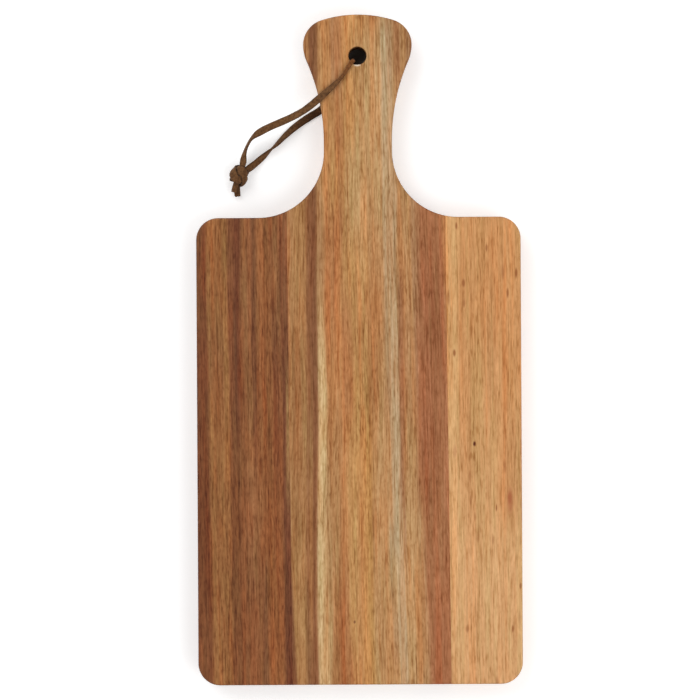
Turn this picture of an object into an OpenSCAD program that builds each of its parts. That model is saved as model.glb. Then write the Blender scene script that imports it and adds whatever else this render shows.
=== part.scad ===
// Paddle serving board: three staves glued edge to edge, and a flat suede lace tied through the handle.
// The board lies face up. +X is to the right across the blade, +Y runs towards the handle, +Z is up, and the
// origin is on the table under the middle of the board. The rear strand of the lace lies under the handle.

/* [Blade] */
// Width of the blade
blade_w = 184; // [160:1:220]
// Length of the blade, from its foot to its shoulders
blade_len = 265; // [220:1:320]
// Radius of the blade's four corners
corner_r = 12.5; // [6:0.5:20]

/* [Handle] */
// Length of the handle, from the shoulders to its end
handle_len = 115; // [105:1:150]
// Width of the neck at its narrowest
neck_w = 38.7; // [32:0.1:46]
// Straight run of the neck above the shoulder arcs
neck_run = 5.5; // [2:0.5:10]
// Radius of the hollow arcs that lead from the shoulders into the neck
shoulder_r = 37.5; // [25:0.5:42]
// Width of the head at its widest
head_w = 61.6; // [54:0.1:76]
// Distance of the head's widest line from the end of the handle
head_drop = 17.2; // [14:0.1:22]
// Radius of the rounded flanks below the head's widest line
flank_r = 20; // [12:1:32]
// Radius of the shallow arc across the end of the handle
crown_r = 68; // [50:1:90]

/* [Wood] */
// Thickness of the wood
board_t = 15; // [10:0.5:22]
// Radius of the eased edges all round
edge_r = 1.5; // [0.5:0.1:4]
// Width of the middle stave
middle_stave_w = 90; // [86:1:110]
// How far the middle stave lies to the right of the board's middle
middle_stave_x = 5; // [0:0.5:8]
// Lean of the glue lines to the left, towards the handle, in degrees
joint_lean = 0.45; // [0:0.05:1.2]

/* [Hole] */
// Diameter of the hole for the lace
hole_d = 10; // [8:0.5:12]
// Distance of the hole's centre from the end of the handle
hole_drop = 23.5; // [20:0.5:30]
// Size of the eased rim at both ends of the hole
hole_ease = 0.8; // [0.3:0.1:1.5]

/* [Lace] */
// Width of the flat lace
lace_w = 4; // [3:0.1:4.4]
// Thickness of the lace
lace_t = 1.2; // [0.8:0.1:1.6]
// Room between the lace and the wood, and between its own strands
lace_room = 0.3; // [0.2:0.05:0.5]
// Radius of the lace's bend over the rim of the hole
bend_r = 2; // [1.6:0.1:2.6]

/* [Knot] */
// Width of a strand where the knot draws it together
drawn_w = 2.2; // [1.8:0.1:2.6]
// Width of the band that makes the knot's turns
turn_w = 2.6; // [2:0.1:3]
// Half the length that the turns cover along the knot
turn_reach = 4; // [3:0.1:5]
// Direction in which the lace runs through the knot, in degrees from +X
knot_turn = 240; // [230:1:250]

/* [Hidden] */

// Longest distance of an outline's flat steps from the true arcs, and of a cut's overrun past a face
chord = 0.02;
past = 1;

// Lines across the board, measured from its middle
board_len = blade_len + handle_len;
foot_y = -board_len / 2;
shoulder_y = foot_y + blade_len;
end_y = board_len / 2;
neck_y = shoulder_y + shoulder_r + neck_run;
head_y = end_y - head_drop;
hole_y = end_y - hole_drop;

// The flare is one hollow arc that leaves the neck upright and runs smoothly into the head's flank.
flare_out = (head_w - neck_w) / 2;
flare_up = head_y - neck_y;
flare_r = (flare_out * flare_out + flare_up * flare_up) / (2 * flare_out) - flank_r;
flare_turn = asin(flare_up / (flare_r + flank_r));

// The head's corner arc touches the widest line and runs smoothly into the crown.
head_half = head_w / 2;
tip_reach = head_half * head_half + head_drop * head_drop;
tip_r = (2 * crown_r * head_drop - tip_reach) / (2 * (crown_r - head_half));
crown_turn = atan2(head_half - tip_r, crown_r - head_drop);

// Heights above the table: the wood lies on the rear strand of the lace.
under_z = lace_t + lace_room;
face_z = under_z + board_t;
lace_over_z = face_z + lace_room + lace_t / 2;
lace_under_z = lace_t / 2;

// The knot's turns pass over and under each other, with a little room to spare, about the two drawn strands.
strand_lift = (lace_t + lace_room) / 2;
drawn_r = norm([drawn_w / 2, strand_lift + lace_t / 2]);
turn_spare = 0.05;
turn_swing = (lace_t + lace_room) / 2 + turn_spare;
turn_r = drawn_r + lace_room + lace_t / 2 + turn_swing;
knot_r = norm([turn_r + turn_swing + lace_t / 2, turn_w / 2]);
knot_z = knot_r;
knot_xy = [-67.5, -67];

// The lace leaves the hole towards its lower left, pressed close to the wall.
lace_turn = 228;
lace_in_r = sqrt(pow(hole_d / 2 - lace_room, 2) - pow(lace_w / 2, 2)) - lace_t / 2;
rim_steps = [0, 30, 60, 90];

// Routes of the two strands, from the hole outwards. Each row has the place seen from above, measured from
// the hole, the height as a share of the way from the board's level (or the table's) to the knot's, the
// lace's roll about its own run in degrees, and its width as a share of lace_w.
front_route = [
  [-9, -10.2, 0, 0, 1],
  [-13, -15, 0, 0, 1],
  [-17.5, -20, 0, 0, 1],
  [-22, -24.3, 0, 0, 1],
  [-26.5, -27.7, 0.01, 0, 1],
  [-31, -30.8, 0.06, 0, 1],
  [-36.5, -34, 0.16, 0, 1],
  [-43, -37.3, 0.3, 0, 1],
  [-50, -40.3, 0.45, 0, 1],
  [-56, -43, 0.6, 5, 1],
  [-60, -46, 0.72, 20, 1],
  [-62.6, -50, 0.84, 45, 1],
  [-63.8, -54.5, 0.94, 30, 1],
  [-64.2, -58.5, 0.99, 8, 0.8],
  [-65, -62.7, 1, 0, 0.6],
];
rear_route = [
  [-9.5, -12, 0, 0, 1],
  [-15, -21.5, 0, 0, 1],
  [-20.5, -29.5, 0.002, 0, 1],
  [-26, -33.7, 0.01, 0, 1],
  [-31, -37, 0.03, 3, 1],
  [-36, -40.8, 0.16, 20, 1],
  [-41, -45, 0.34, 50, 1],
  [-45.5, -48.9, 0.4, 80, 1],
  [-49.5, -52.2, 0.42, 105, 1],
  [-53.5, -55.4, 0.45, 130, 1],
  [-58, -58.2, 0.62, 155, 1],
  [-62, -60.2, 0.87, 172, 0.8],
  [-65, -62.7, 1, 180, 0.6],
];

// The tails, from the knot outwards, in the same form, but the height is a share of the strand's in the knot
front_tail = [
  [-70, -71.3, 0.95, 0, 0.6],
  [-71.2, -74.2, 0.85, 0, 0.75],
  [-71.6, -77, 0.72, 0, 0.8],
];
rear_tail = [
  [-70, -71.3, 0.95, 180, 0.6],
  [-70, -75, 0.7, 180, 0.75],
  [-69, -79, 0.4, 180, 0.85],
];

// Points on an arc, each with the direction that leads out of the wood. sense is 1 on a round arc and -1 on a
// hollow one.
function arc_steps(r, turn) = ceil(abs(turn) / (2 * acos(1 - chord / r)));
function arc(centre, r, from, to, sense, first = 0) =
  let (n = arc_steps(r, to - from))
  [
    for (i = [first:n])
      let (a = from + (to - from) * i / n, out = [cos(a), sin(a)])
      [centre + r * out, sense * out]
  ];

// The crown stops half a step short of the middle line, where its mirror image takes over.
function crown() =
  let (n = arc_steps(crown_r, crown_turn))
  [
    for (i = [1:n])
      let (a = 90 - crown_turn * (1 - i / (n + 0.5)), out = [cos(a), sin(a)])
      [[0, end_y - crown_r] + crown_r * out, out]
  ];

blade_side = concat(
  arc([blade_w / 2 - corner_r, foot_y + corner_r], corner_r, -90, 0, 1),
  arc([blade_w / 2 - corner_r, shoulder_y - corner_r], corner_r, 0, 90, 1)
);
handle_side = concat(
  arc([neck_w / 2 + shoulder_r, shoulder_y + shoulder_r], shoulder_r, -90, -180, -1),
  arc([neck_w / 2 + flare_r, neck_y], flare_r, 180, 180 - flare_turn, -1),
  arc([head_half - flank_r, head_y], flank_r, -flare_turn, 0, 1, 1),
  arc([head_half - tip_r, head_y], tip_r, 0, 90 - crown_turn, 1, 1),
  crown()
);
right_side = concat(blade_side, handle_side);
side_n = len(right_side);
ring_n = 2 * side_n;

// One turn round the outline, drawn in from the true edge, at height z
function mirrored(p) = [-p.x, p.y];
function outline_ring(inset, z) =
  let (right = [for (p = right_side) p[0] - inset * p[1]])
  [
    for (p = right) [p.x, p.y, z],
    for (i = [side_n - 1:-1:0]) let (q = mirrored(right[i])) [q.x, q.y, z]
  ];

// Faces between the rings of a tube or a loft, as triangles
function wall_faces(n, m, closed) =
  [
    for (i = [0:n - (closed ? 1 : 2)], j = [0:m - 1])
      let (k = (i + 1) % n, next = (j + 1) % m)
      each [[i * m + j, k * m + next, i * m + next], [i * m + j, k * m + j, k * m + next]]
  ];

// A flat end of the board: the blade as one face, and the handle in strips from side to side
function board_end(first, up) =
  let (
    rows = len(blade_side),
    blade = [for (i = [0:rows]) first + i, for (i = [rows:-1:0]) first + ring_n - 1 - i],
    strips = [
      for (i = [rows:side_n - 2])
        [first + i, first + i + 1, first + ring_n - 2 - i, first + ring_n - 1 - i]
    ]
  )
  [for (face = concat([blade], strips)) up ? [for (i = [len(face) - 1:-1:0]) face[i]] : face];

// The whole board before it is divided, with rounded edges above and below
ease_steps = [0, 30, 60, 90];
module blank() {
  lower = [for (a = ease_steps) outline_ring(edge_r * (1 - sin(a)), under_z + edge_r * (1 - cos(a)))];
  upper = [for (a = ease_steps) outline_ring(edge_r * (1 - cos(a)), face_z - edge_r * (1 - sin(a)))];
  rings = concat(lower, upper);
  faces = concat(
    wall_faces(len(rings), ring_n, false),
    board_end(0, false),
    board_end((len(rings) - 1) * ring_n, true)
  );
  polyhedron([for (ring = rings) each ring], faces);
}

// The part of the board between two glue lines, whose places are taken at the middle of the board's length
module stave(from_x, to_x) {
  intersection() {
    blank();
    rotate([0, 0, joint_lean])
      translate([from_x, -board_len, 0]) cube([to_x - from_x, 2 * board_len, face_z + past]);
  }
}

left_joint_x = middle_stave_x - middle_stave_w / 2;
right_joint_x = middle_stave_x + middle_stave_w / 2;

module left_stave() {
  color("#8a5833") stave(-blade_w, left_joint_x);
}

module right_stave() {
  color("#cc9560") stave(right_joint_x, blade_w);
}

// A round hole with both rims eased
hole_sides = 64;
module lace_hole() {
  rim_r = hole_d / 2 + hole_ease;
  translate([0, hole_y, under_z - past]) {
    cylinder(d = hole_d, h = board_t + 2 * past, $fn = hole_sides);
    cylinder(r1 = rim_r + past, r2 = hole_d / 2, h = hole_ease + past, $fn = hole_sides);
    translate([0, 0, board_t + past - hole_ease])
      cylinder(r1 = hole_d / 2, r2 = rim_r + past, h = hole_ease + past, $fn = hole_sides);
  }
}

module middle_stave() {
  color("#b98250")
    difference() {
      stave(left_joint_x, right_joint_x);
      lace_hole();
    }
}

// A place on a smooth curve through four rows, between the second and the third
function curve_at(a, b, c, d, s) =
  0.5 * (2 * b + (c - a) * s + (2 * a - 5 * b + 4 * c - d) * s * s + (3 * b - a - 3 * c + d) * s * s * s);
function smooth(rows) =
  let (last = len(rows) - 1)
  [
    for (i = [0:last - 1], s = [0, 0.5])
      curve_at(rows[max(i - 1, 0)], rows[i], rows[i + 1], rows[min(i + 2, last)], s),
    rows[last]
  ];

// A strand's rows as [x, y, z, roll, width]: out of the middle of the hole, round its rim, along its route
// and through the knot to the end of its tail. side is 1 on the front and -1 on the rear.
function strand(side) =
  let (
    level = side > 0 ? lace_over_z : lace_under_z,
    at_knot = knot_z + side * strand_lift,
    out = [cos(lace_turn), sin(lace_turn)],
    rim = [
      for (a = rim_steps)
        let (r = lace_in_r + bend_r * (1 - cos(a)))
        [r * out.x, r * out.y, level - side * bend_r * (1 - sin(a)), 0, lace_w]
    ],
    route = [
      for (p = side > 0 ? front_route : rear_route)
        [p[0], p[1], level + (at_knot - level) * p[2], p[3], p[4] * lace_w]
    ],
    tail = [for (p = side > 0 ? front_tail : rear_tail) [p[0], p[1], at_knot * p[2], p[3], p[4] * lace_w]],
    last = len(rim) - 1
  )
  concat([for (i = [0:last - 1]) rim[i]], smooth(concat([rim[last]], route, tail)));

function unit(v) = v / norm(v);
function eased_strip(p, across, through, w, t) =
  let (half_w = w / 2, half_t = t / 2, cut = t / 4)
  [
    for (q = [
      [half_w, -half_t + cut], [half_w, half_t - cut], [half_w - cut, half_t], [-half_w + cut, half_t],
      [-half_w, half_t - cut], [-half_w, -half_t + cut], [-half_w + cut, -half_t], [half_w - cut, -half_t],
    ])
      p + q.x * across + q.y * through
  ];

// The lace's section at a row. It lies flat across its run, seen from above, and then rolls about the run.
function place(row) = [row[0], row[1], row[2]];
function strip_ring(rows, i, side) =
  let (
    last = len(rows) - 1,
    run = unit(place(rows[min(i + 1, last)]) - place(rows[max(i - 1, 0)])),
    ahead = unit([run.x, run.y, 0]),
    flat = [-ahead.y, ahead.x, 0],
    lift = cross(run, flat),
    across = cos(rows[i][3]) * flat + sin(rows[i][3]) * lift,
    through = side * cross(across, run)
  )
  eased_strip(place(rows[i]), across, through, rows[i][4], lace_t);
function strand_rings(side) =
  let (rows = strand(side))
  [for (i = [0:len(rows) - 1]) strip_ring(rows, i, side)];

// The lace from one tail to the other, through the knot twice and through the hole once
module thong_loop() {
  front = strand_rings(1);
  rings = concat([for (i = [len(front) - 1:-1:0]) front[i]], strand_rings(-1));
  sides = len(rings[0]);
  last = (len(rings) - 1) * sides;
  ends = [[for (j = [0:sides - 1]) j], [for (j = [sides - 1:-1:0]) last + j]];
  color("#6a4a30")
    translate([0, hole_y, 0])
      polyhedron([for (ring = rings) each ring], concat(wall_faces(len(rings), sides, false), ends));
}

// The knot's turns: a band that goes twice round the strands while it swings three times along and across
turn_steps = 42;
function turn_place(a) =
  let (r = turn_r + turn_swing * cos(3 * a))
  [turn_reach * sin(3 * a), r * cos(2 * a), r * sin(2 * a)];
function turn_ring(i) =
  let (
    a = 360 * i / turn_steps,
    step = 180 / turn_steps,
    run = unit(turn_place(a + step) - turn_place(a - step)),
    out = [0, cos(2 * a), sin(2 * a)],
    across = unit(cross(run, out)),
    through = cross(across, run)
  )
  eased_strip(turn_place(a), across, through, turn_w, lace_t);

module thong_knot() {
  rings = [for (i = [0:turn_steps - 1]) turn_ring(i)];
  color("#5e4029")
    translate([knot_xy.x, hole_y + knot_xy.y, knot_z])
      rotate([0, 0, knot_turn])
        polyhedron([for (ring = rings) each ring], wall_faces(turn_steps, len(rings[0]), true));
}

left_stave();
middle_stave();
right_stave();
thong_loop();
thong_knot();
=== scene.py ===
import bpy
import bmesh
import math
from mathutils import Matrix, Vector, noise


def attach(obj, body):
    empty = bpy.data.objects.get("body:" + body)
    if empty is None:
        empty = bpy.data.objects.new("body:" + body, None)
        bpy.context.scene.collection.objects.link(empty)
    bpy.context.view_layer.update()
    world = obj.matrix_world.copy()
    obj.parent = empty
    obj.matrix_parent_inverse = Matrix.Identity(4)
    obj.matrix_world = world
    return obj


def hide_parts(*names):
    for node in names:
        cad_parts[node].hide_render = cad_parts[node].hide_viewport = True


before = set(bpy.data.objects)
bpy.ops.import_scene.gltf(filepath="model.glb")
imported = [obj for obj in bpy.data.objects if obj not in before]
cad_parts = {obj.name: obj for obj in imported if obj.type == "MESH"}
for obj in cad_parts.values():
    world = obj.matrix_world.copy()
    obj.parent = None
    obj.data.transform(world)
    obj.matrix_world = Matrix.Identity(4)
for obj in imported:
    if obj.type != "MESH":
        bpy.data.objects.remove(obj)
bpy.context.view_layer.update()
scene = bpy.context.scene
scene.view_settings.view_transform = "Standard"
mm = 0.001  # every size below is in millimetres, and becomes metres as its mesh is made
print("frame loaded:", sorted(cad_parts))


# camera, straight down on the serving face
cameraView = {
    "over": (-5.1, -0.2),
    "face": 16.5,
    "distance": 1800.0,
    "across": 396.6,  # width of the picture at the face
    "roll": -0.31,
}


def addCamera(s):
    data = bpy.data.cameras.new("camera")
    data.sensor_width = 36.0
    data.lens = data.sensor_width * s["distance"] / s["across"]
    camera = bpy.data.objects.new("camera", data)
    camera.location = (s["over"][0] * mm, s["over"][1] * mm, (s["face"] + s["distance"]) * mm)
    camera.rotation_euler = (0, 0, math.radians(s["roll"]))
    scene.collection.objects.link(camera)
    scene.camera = camera


addCamera(cameraView)
print("camera made")


# shader wiring: a socket that adds Math nodes when it is used in an expression
class Wire:
    def __init__(self, tree, socket=None):
        self.tree = tree
        self.socket = socket

    def node(self, kind, settings=None, sockets=None, out=0):
        made = self.tree.nodes.new("ShaderNode" + kind)
        for key, value in (settings or {}).items():
            if key == "stops":
                fillRamp(made.color_ramp, value)
            else:
                setattr(made, key, value)
        for key, value in (sockets or {}).items():
            if isinstance(value, Wire):
                self.tree.links.new(value.socket, made.inputs[key])
            else:
                made.inputs[key].default_value = value
        return Wire(self.tree, made.outputs[out] if made.outputs else None)

    def other(self, name):  # another output of the same node
        return Wire(self.tree, self.socket.node.outputs[name])

    def math(self, operation, *values):
        return self.node("Math", {"operation": operation}, dict(enumerate(values)))

    def __add__(self, b):
        return self.math("ADD", self, b)

    def __radd__(self, b):
        return self.math("ADD", b, self)

    def __sub__(self, b):
        return self.math("SUBTRACT", self, b)

    def __rsub__(self, b):
        return self.math("SUBTRACT", b, self)

    def __mul__(self, b):
        return self.math("MULTIPLY", self, b)

    def __rmul__(self, b):
        return self.math("MULTIPLY", b, self)

    def __truediv__(self, b):
        return self.math("DIVIDE", self, b)

    def __rtruediv__(self, b):
        return self.math("DIVIDE", b, self)

    def __pow__(self, b):
        return self.math("POWER", self, b)

    def __abs__(self):
        return self.math("ABSOLUTE", self)


def fillRamp(ramp, stops):
    ramp.interpolation = "LINEAR"
    while len(ramp.elements) < len(stops):
        ramp.elements.new(0.5)
    for element, (place, colour) in zip(ramp.elements, stops):
        element.position = place
        element.color = colour


def linear(tone):  # written as 0 to 255 on a screen, wanted as linear light
    parts = [c / 255 for c in tone]
    return tuple([c / 12.92 if c <= 0.04045 else ((c + 0.055) / 1.055) ** 2.4 for c in parts] + [1.0])


def rise(value, low, high):  # 0 below low, 1 above high, eased between
    ends = {"Value": value, "From Min": low, "From Max": high, "To Min": 0.0, "To Max": 1.0}
    return value.node("MapRange", {"interpolation_type": "SMOOTHSTEP"}, ends)


def mixed(share, a, b, blend="MIX"):
    return share.node("Mix", {"data_type": "RGBA", "blend_type": blend}, {0: share, 6: a, 7: b}, out=2)


def tinted(share, colour, factor):  # multiplied by a factor for red, green and blue
    return mixed(share, colour, (*factor, 1.0), "MULTIPLY")


def oval(x, y, middle, half, outer=1.3, inner=0.4):  # 1 near the middle, 0 outside
    across, along = (x - middle[0]) / half[0], (y - middle[1]) / half[1]
    return rise((across * across + along * along) ** 0.5, outer, inner)


def speckle(x, y, z, rates, detail=2.0, roughness=0.5, shift=0.0):
    place = x.node("CombineXYZ", None, {0: x * rates[0] + shift, 1: y * rates[1], 2: z * rates[2]})
    return x.node("TexNoise", None, {"Vector": place, "Scale": 1.0, "Detail": detail, "Roughness": roughness})


def newMaterial(name):
    material = bpy.data.materials.new(name)
    material.use_nodes = True
    material.node_tree.nodes.clear()
    return material, Wire(material.node_tree)


def placeOf(start):  # x, y and z in millimetres
    parts = start.node("SeparateXYZ", None, {0: start.node("TexCoord", out="Object")})
    return [parts.other(axis) * 1000 for axis in "XYZ"]


def finishMaterial(start, colour, roughness, normal, constants):
    sockets = {"Base Color": colour, "Roughness": roughness, "Normal": normal}
    shader = start.node("BsdfPrincipled", None, {**constants, **sockets})
    start.node("OutputMaterial", None, {"Surface": shader})


def addPiece(name, mesh, body, slot, material, *nodes):
    piece = bpy.data.objects.new(name, mesh)
    scene.collection.objects.link(piece)
    mesh.materials.clear()
    mesh.materials.append(material)
    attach(piece, body)
    if nodes:
        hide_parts(*nodes)
    return piece


# suede of the lace; runs are in metres along it from the hole, negative on the rear strand
suedeFinish = {
    "tones": {"deep": (52, 32, 19), "mid": (101, 68, 41), "worn": (126, 89, 56), "holeOrange": (132, 77, 33)},
    "blotch": 0.35,  # patches to the millimetre
    "nap": 0.75,  # tufts to the millimetre
    "holeOrangeRun": (0.034, 0.014), "holeOrangeShare": 0.8,  # the front strand turns lighter and more orange near the hole
    "rearShadeRun": (-0.066, -0.036), "rearShadeShare": 0.75,  # painted shade: the rear strand is darker near the hole, where it runs under the handle
    "darkEnd": (0.104, 0.110), "endShare": 0.08,  # the tails darken a little, counted on from 0.1
    "pitShare": 0.6, "tuftShare": 0.5, "edgeShadeShare": 0.45,  # dark pits, pale tufts and painted shade on the cut edges
    "roughness": 0.92, "roughNap": 0.08,
    "bump": 0.5, "bumpDepth": 0.0003,
    "sheen": {"Specular IOR Level": 0.15, "Sheen Weight": 0.1, "Sheen Roughness": 0.45},
}


def makeSuede(s):
    material, start = newMaterial("suede")
    x, y, z = placeOf(start)
    blotch = speckle(x, y, z, [s["blotch"]] * 3, 3.0, 0.55)
    nap = speckle(x, y, z, [s["nap"]] * 3, 3.0, 0.7)
    lace = start.node("SeparateXYZ", None, {0: start.node("UVMap", {"uv_map": "lace"})})
    run, edge = lace.other("X"), lace.other("Y")  # edge is 0 in the middle of a face, 1 on the cut edge
    front, rear = rise(run, 0.0, 0.001), rise(run, 0.0, -0.001)
    layers = [
        (rise(blotch, 0.3, 0.75), "worn"),
        (front * rise(run, *s["holeOrangeRun"]) * s["holeOrangeShare"], "holeOrange"),
        # painted shade on the rear strand under the handle
        (rear * rise(run, *s["rearShadeRun"]) * s["rearShadeShare"], "deep"),
        (rise(run, *s["darkEnd"]) * s["endShare"], "deep"),
        (rise(nap, 0.6, 0.3) * s["pitShare"], "deep"),
        (rise(nap, 0.5, 0.72) * s["tuftShare"], "worn"),
        # painted shade on the cut edges of the lace
        (rise(edge, 0.72, 1.0) * s["edgeShadeShare"], "deep"),
    ]
    colour = linear(s["tones"]["mid"])
    for share, tone in layers:
        colour = mixed(share, colour, linear(s["tones"][tone]))
    sockets = {"Strength": s["bump"], "Distance": s["bumpDepth"], "Height": nap * 0.7 + blotch * 0.5}
    bump = start.node("Bump", None, sockets)
    finishMaterial(start, colour, s["roughness"] + nap * s["roughNap"], bump, s["sheen"])
    return material


suede = makeSuede(suedeFinish)
print("suede made")


# lace: one flat suede strip, doubled through the hole and tied; measured from the hole's centre
laceSetup = {
    "hole": (0.0, 166.5),
    "turn": 228.0,  # the way it leaves the hole, in degrees
    "inHole": (3.2, 6.0, 9.0, 12.0),  # heights inside the hole
    "inRadius": 3.65,
    "bend": 2.0,
    "overZ": 17.4,
    "underZ": 0.6,
    "knotZ": 5.01,
    "lift": 0.75,
    "width": 4.3,
    "drawn": 0.56,  # share of the width at the hole's rim
    "rimCup": 40.0,  # cupping in the hole, which grows over the face's rim and flattens under the other
    "overCup": 0.75,
    "underCup": -0.3,
    "thick": 1.2,
    "gathered": 0.35,  # thicker where it is drawn narrow
    "spacing": 0.45,
    "wobble": 0.05,
}
# rows of x, y, share of the way to the knot's height, roll in degrees, share of the width, cupping in degrees
frontRoute = [
    (-8.1, -11, 0, 0, 0.42, 110), (-12.3, -15.6, 0, 0, 0.64, 88), (-17.3, -20.2, 0, 0, 0.84, 58),
    (-22, -24.3, 0, 0, 0.98, 32), (-26.3, -27.9, 0.01, 0, 0.92, 15), (-30.8, -31.1, 0.06, 0, 0.9, 12),
    (-36.4, -34.1, 0.16, 0, 0.93, 12), (-43.1, -37, 0.3, 0, 1, 14), (-50.2, -39.9, 0.45, 0, 0.97, 16),
    (-56, -42.8, 0.6, 15, 1, 20), (-60, -45.8, 0.72, 66, 1, 24), (-62.6, -49.7, 0.84, 76, 1, 24),
    (-64.5, -54.6, 0.94, 60, 0.95, 30), (-65.3, -59, 0.99, 18, 0.9, 45), (-66.2, -63.2, 1, 0, 0.7, 50),
]
rearRoute = [
    (-9.5, -12, 0, 0, 1, 10), (-15, -21.5, 0, 0, 1, 0), (-20.8, -29.1, 0.002, 0, 1, 0),
    (-26.5, -32.8, 0.01, 0, 1, 5), (-31.5, -36, 0.04, 3, 0.98, 10), (-36.5, -39.8, 0.2, 20, 1, 15),
    (-41.8, -44.6, 0.34, 45, 1, 20), (-46.8, -49.7, 0.43, 67, 1, 20), (-50.6, -53, 0.46, 102, 1, 20),
    (-54.4, -56.5, 0.49, 132, 1, 18), (-58.5, -60, 0.62, 158, 0.94, 20), (-62.4, -63, 0.87, 174, 0.96, 30),
    (-65.6, -65.3, 1, 180, 0.7, 50),
]


def wayOut(turn):
    return Vector((math.cos(math.radians(turn)), math.sin(math.radians(turn)), 0))


def strandRows(s, side):
    level = s["overZ"] if side > 0 else s["underZ"]
    atKnot = s["knotZ"] + side * s["lift"]
    cupping = s["overCup"] if side > 0 else s["underCup"]
    out, drawn = wayOut(s["turn"]), s["width"] * s["drawn"]
    rows = []
    if side > 0:  # the front strand also has the length inside the hole
        for z in s["inHole"]:
            rows.append((s["inRadius"] * out.x, s["inRadius"] * out.y, z, 0, drawn, s["rimCup"]))
    for angle in (0, 30, 60, 90):
        turned = math.radians(angle)
        r = s["inRadius"] + s["bend"] * (1 - math.cos(turned))
        z = level - side * s["bend"] * (1 - math.sin(turned))
        rows.append((r * out.x, r * out.y, z, 0, drawn, s["rimCup"] + angle * cupping))
    for x, y, share, roll, wide, cup in frontRoute if side > 0 else rearRoute:
        rows.append((x, y, level + (atKnot - level) * share, roll, s["width"] * wide, cup))
    return [(x + s["hole"][0], y + s["hole"][1], *rest) for x, y, *rest in rows]


def through(rows, spacing):  # close rows on one smooth curve through the given ones
    def gap(a, b):
        return max(math.dist(a[:3], b[:3]) ** 0.5, 1e-6)

    def blend(a, b, ta, tb, t):
        return [(p * (tb - t) + q * (t - ta)) / (tb - ta) for p, q in zip(a, b)]

    ends = [[2 * p - q for p, q in zip(rows[0], rows[1])], [2 * p - q for p, q in zip(rows[-1], rows[-2])]]
    full = [ends[0], *rows, ends[1]]
    fine = []
    for a, b, c, d in zip(full, full[1:], full[2:], full[3:]):
        ta, tb = 0.0, gap(a, b)
        tc = tb + gap(b, c)
        td = tc + gap(c, d)
        steps = max(1, round(math.dist(b[:3], c[:3]) / spacing))
        for i in range(steps):
            t = tb + (tc - tb) * i / steps
            ab, bc, cd = blend(a, b, ta, tb, t), blend(b, c, tb, tc, t), blend(c, d, tc, td, t)
            fine.append(blend(blend(ab, bc, ta, tc, t), blend(bc, cd, tb, td, t), tb, tc, t))
    fine.append(list(rows[-1]))
    return fine


def stripSection(wide, thick, cup):  # across, up and edge share of each point round the strip
    half, arc = thick / 2, max(math.radians(cup), 1e-4)
    radius = wide / arc

    def point(s, off):
        a = s * arc
        return (radius + off) * math.sin(a), (radius + off) * math.cos(a) - radius * math.cos(arc / 2)

    body = 0.5 - half / wide
    faces = [body * k / 4 for k in range(-4, 5)]
    ring = [(*point(s, half), abs(s) / 0.5) for s in reversed(faces)]
    for side in (-1, 1):
        for turn in (45, 90, 135):  # rounded cut edge
            swell, off = math.sin(math.radians(turn)) * half / wide, math.cos(math.radians(turn)) * half
            ring.append((*point(side * (body + swell), off * -side), 1.0))
        if side < 0:
            ring += [(*point(s, -half), abs(s) / 0.5) for s in faces]
    return ring


# each frame holds a place, the ways across and up, a width, a thickness and a cupping
def loftStrip(name, frames, closed=False, begin=100.0, way=1):
    places, edges, alongs, faces = [], [], [], []
    run = 0.0
    for i, (place, across, up, wide, thick, cup) in enumerate(frames):
        run += (place - frames[i - 1][0]).length if i else 0.0
        for a, b, edge in stripSection(wide, thick, cup):
            places.append((place + a * across + b * up) * mm)
            edges.append(edge)
            alongs.append((begin + way * run) * mm)
    sides = len(places) // len(frames)
    count = len(frames)
    for i in range(count if closed else count - 1):
        k = (i + 1) % count
        for j in range(sides):
            n = (j + 1) % sides
            faces.append((i * sides + j, i * sides + n, k * sides + n, k * sides + j))
    if not closed:
        faces.append(tuple(range(sides)))
        faces.append(tuple(range((count - 1) * sides, count * sides)))
    mesh = bpy.data.meshes.new(name)
    mesh.from_pydata(places, [], faces)
    bm = bmesh.new()
    bm.from_mesh(mesh)
    bmesh.ops.recalc_face_normals(bm, faces=bm.faces)
    layer = bm.loops.layers.uv.new("lace")
    for face in bm.faces:
        face.smooth = True
        for loop in face.loops:
            loop[layer].uv = (alongs[loop.vert.index], edges[loop.vert.index])
    bm.to_mesh(mesh)
    bm.free()
    return mesh


def stripFrames(rows, s, seed):  # a strip that lies flat on its run, then rolls about it
    out = wayOut(s["turn"])
    frames = []
    for i, (x, y, z, roll, wide, cup) in enumerate(rows):
        place = Vector((x, y, z))
        before, after = rows[max(i - 1, 0)], rows[min(i + 1, len(rows) - 1)]
        run = (Vector(after[:3]) - Vector(before[:3])).normalized()
        ahead = Vector((run.x, run.y, 0))
        ahead = ahead.normalized() if ahead.length > 0.05 else out
        flat = Vector((-ahead.y, ahead.x, 0))
        lift = run.cross(flat)
        turned = math.radians(roll)
        across = math.cos(turned) * flat + math.sin(turned) * lift
        up = math.cos(turned) * lift - math.sin(turned) * flat
        drift = noise.noise(Vector((i * s["spacing"] * 0.22, seed, 0.3)))
        ripple = noise.noise(Vector((i * s["spacing"] * 0.9, seed, 7.1)))
        thick = s["thick"] * (1 + s["gathered"] * max(0.0, 1 - wide / s["width"]))
        wide, thick = wide * (1 + s["wobble"] * drift), thick * (1 + 0.5 * s["wobble"] * ripple)
        frames.append((place, across, up, wide, thick, cup))
    return frames


def makeStrand(name, s, side, seed):
    rows = through(strandRows(s, side), s["spacing"])
    mesh = loftStrip(name, stripFrames(rows, s, seed), begin=0.0, way=side)
    return mesh, [Vector(row[:3]) * mm for row in rows]


def pathLength(path):
    return sum((b - a).length for a, b in zip(path, path[1:]))


frontMesh, frontPath = makeStrand("lace_front", laceSetup, 1, 2.5)
rearMesh, rearPath = makeStrand("lace_rear", laceSetup, -1, 11.5)
laceFront = addPiece("lace_front", frontMesh, "thong", "suede", suede, "thong_loop")
laceRear = addPiece("lace_rear", rearMesh, "thong", "suede", suede, "thong_loop")
print("lace strands made:", round(pathLength(frontPath), 4), round(pathLength(rearPath), 4), "m")


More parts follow.
